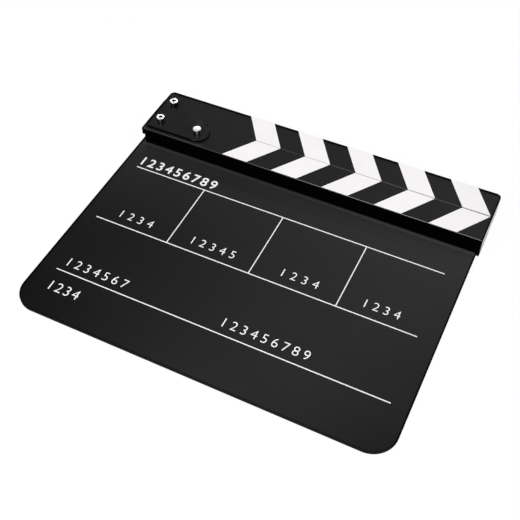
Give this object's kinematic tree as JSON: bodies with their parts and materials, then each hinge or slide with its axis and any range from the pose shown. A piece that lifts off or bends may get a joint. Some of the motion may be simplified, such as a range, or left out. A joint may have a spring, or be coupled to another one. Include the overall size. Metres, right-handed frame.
{
  "type": "clapperboard",
  "caption": "Flat black acrylic slate with a fixed lower clapper stick and an upper stick that swings on a pivot at the left end, both striped in chevrons.",
  "frame": {"origin": "under the middle of the whole object's box, on the plane that its back rests on", "axes": "+X along the sticks from the hinge to the free end, +Y from the foot of the slate towards the sticks, +Z out of the writing face"},
  "size_m": [0.3022, 0.244, 0.0243],
  "materials": {
    "slate_acrylic": "black acrylic, semi-gloss",
    "stick_lacquer": "wood under smooth black lacquer, satin",
    "plate_paint": "steel plate with smooth black paint, satin",
    "screw_steel": "bright plated steel",
    "zinc_steel": "zinc-plated steel",
    "bush_brass": "turned brass",
    "nylon": "natural nylon",
    "white_film": "white self-adhesive film, satin"
  },
  "bodies": {
    "slate": {"slate_board": "slate_acrylic", "lower_stick": "stick_lacquer", "hinge_plate": "plate_paint", "pivot_screw": "screw_steel", "plate_screws": "screw_steel", "pivot_washer": "zinc_steel", "pivot_lock_nut": "zinc_steel", "lock_nut_insert": "nylon", "tee_nuts": "zinc_steel", "board_screws": "zinc_steel", "lower_stripe_1": "white_film", "lower_stripe_2": "white_film", "lower_stripe_3": "white_film", "lower_stripe_4": "white_film", "lower_stripe_5": "white_film", "rule_top": "white_film", "rule_middle": "white_film", "rule_bottom": "white_film", "divider_1": "white_film", "divider_2": "white_film", "divider_3": "white_film"},
    "clapper": {"upper_stick": "stick_lacquer", "pivot_bush": "bush_brass", "upper_stripe_1": "white_film", "upper_stripe_2": "white_film", "upper_stripe_3": "white_film", "upper_stripe_4": "white_film", "upper_stripe_5": "white_film"}
  },
  "joints": [
    {"name": "clapper_hinge", "type": "hinge", "parent": "slate", "child": "clapper", "pos_m": [-0.13725, 0.10535, 0.0198], "axis": [0, 0, 1], "range_deg": [0, 60]}
  ]
}
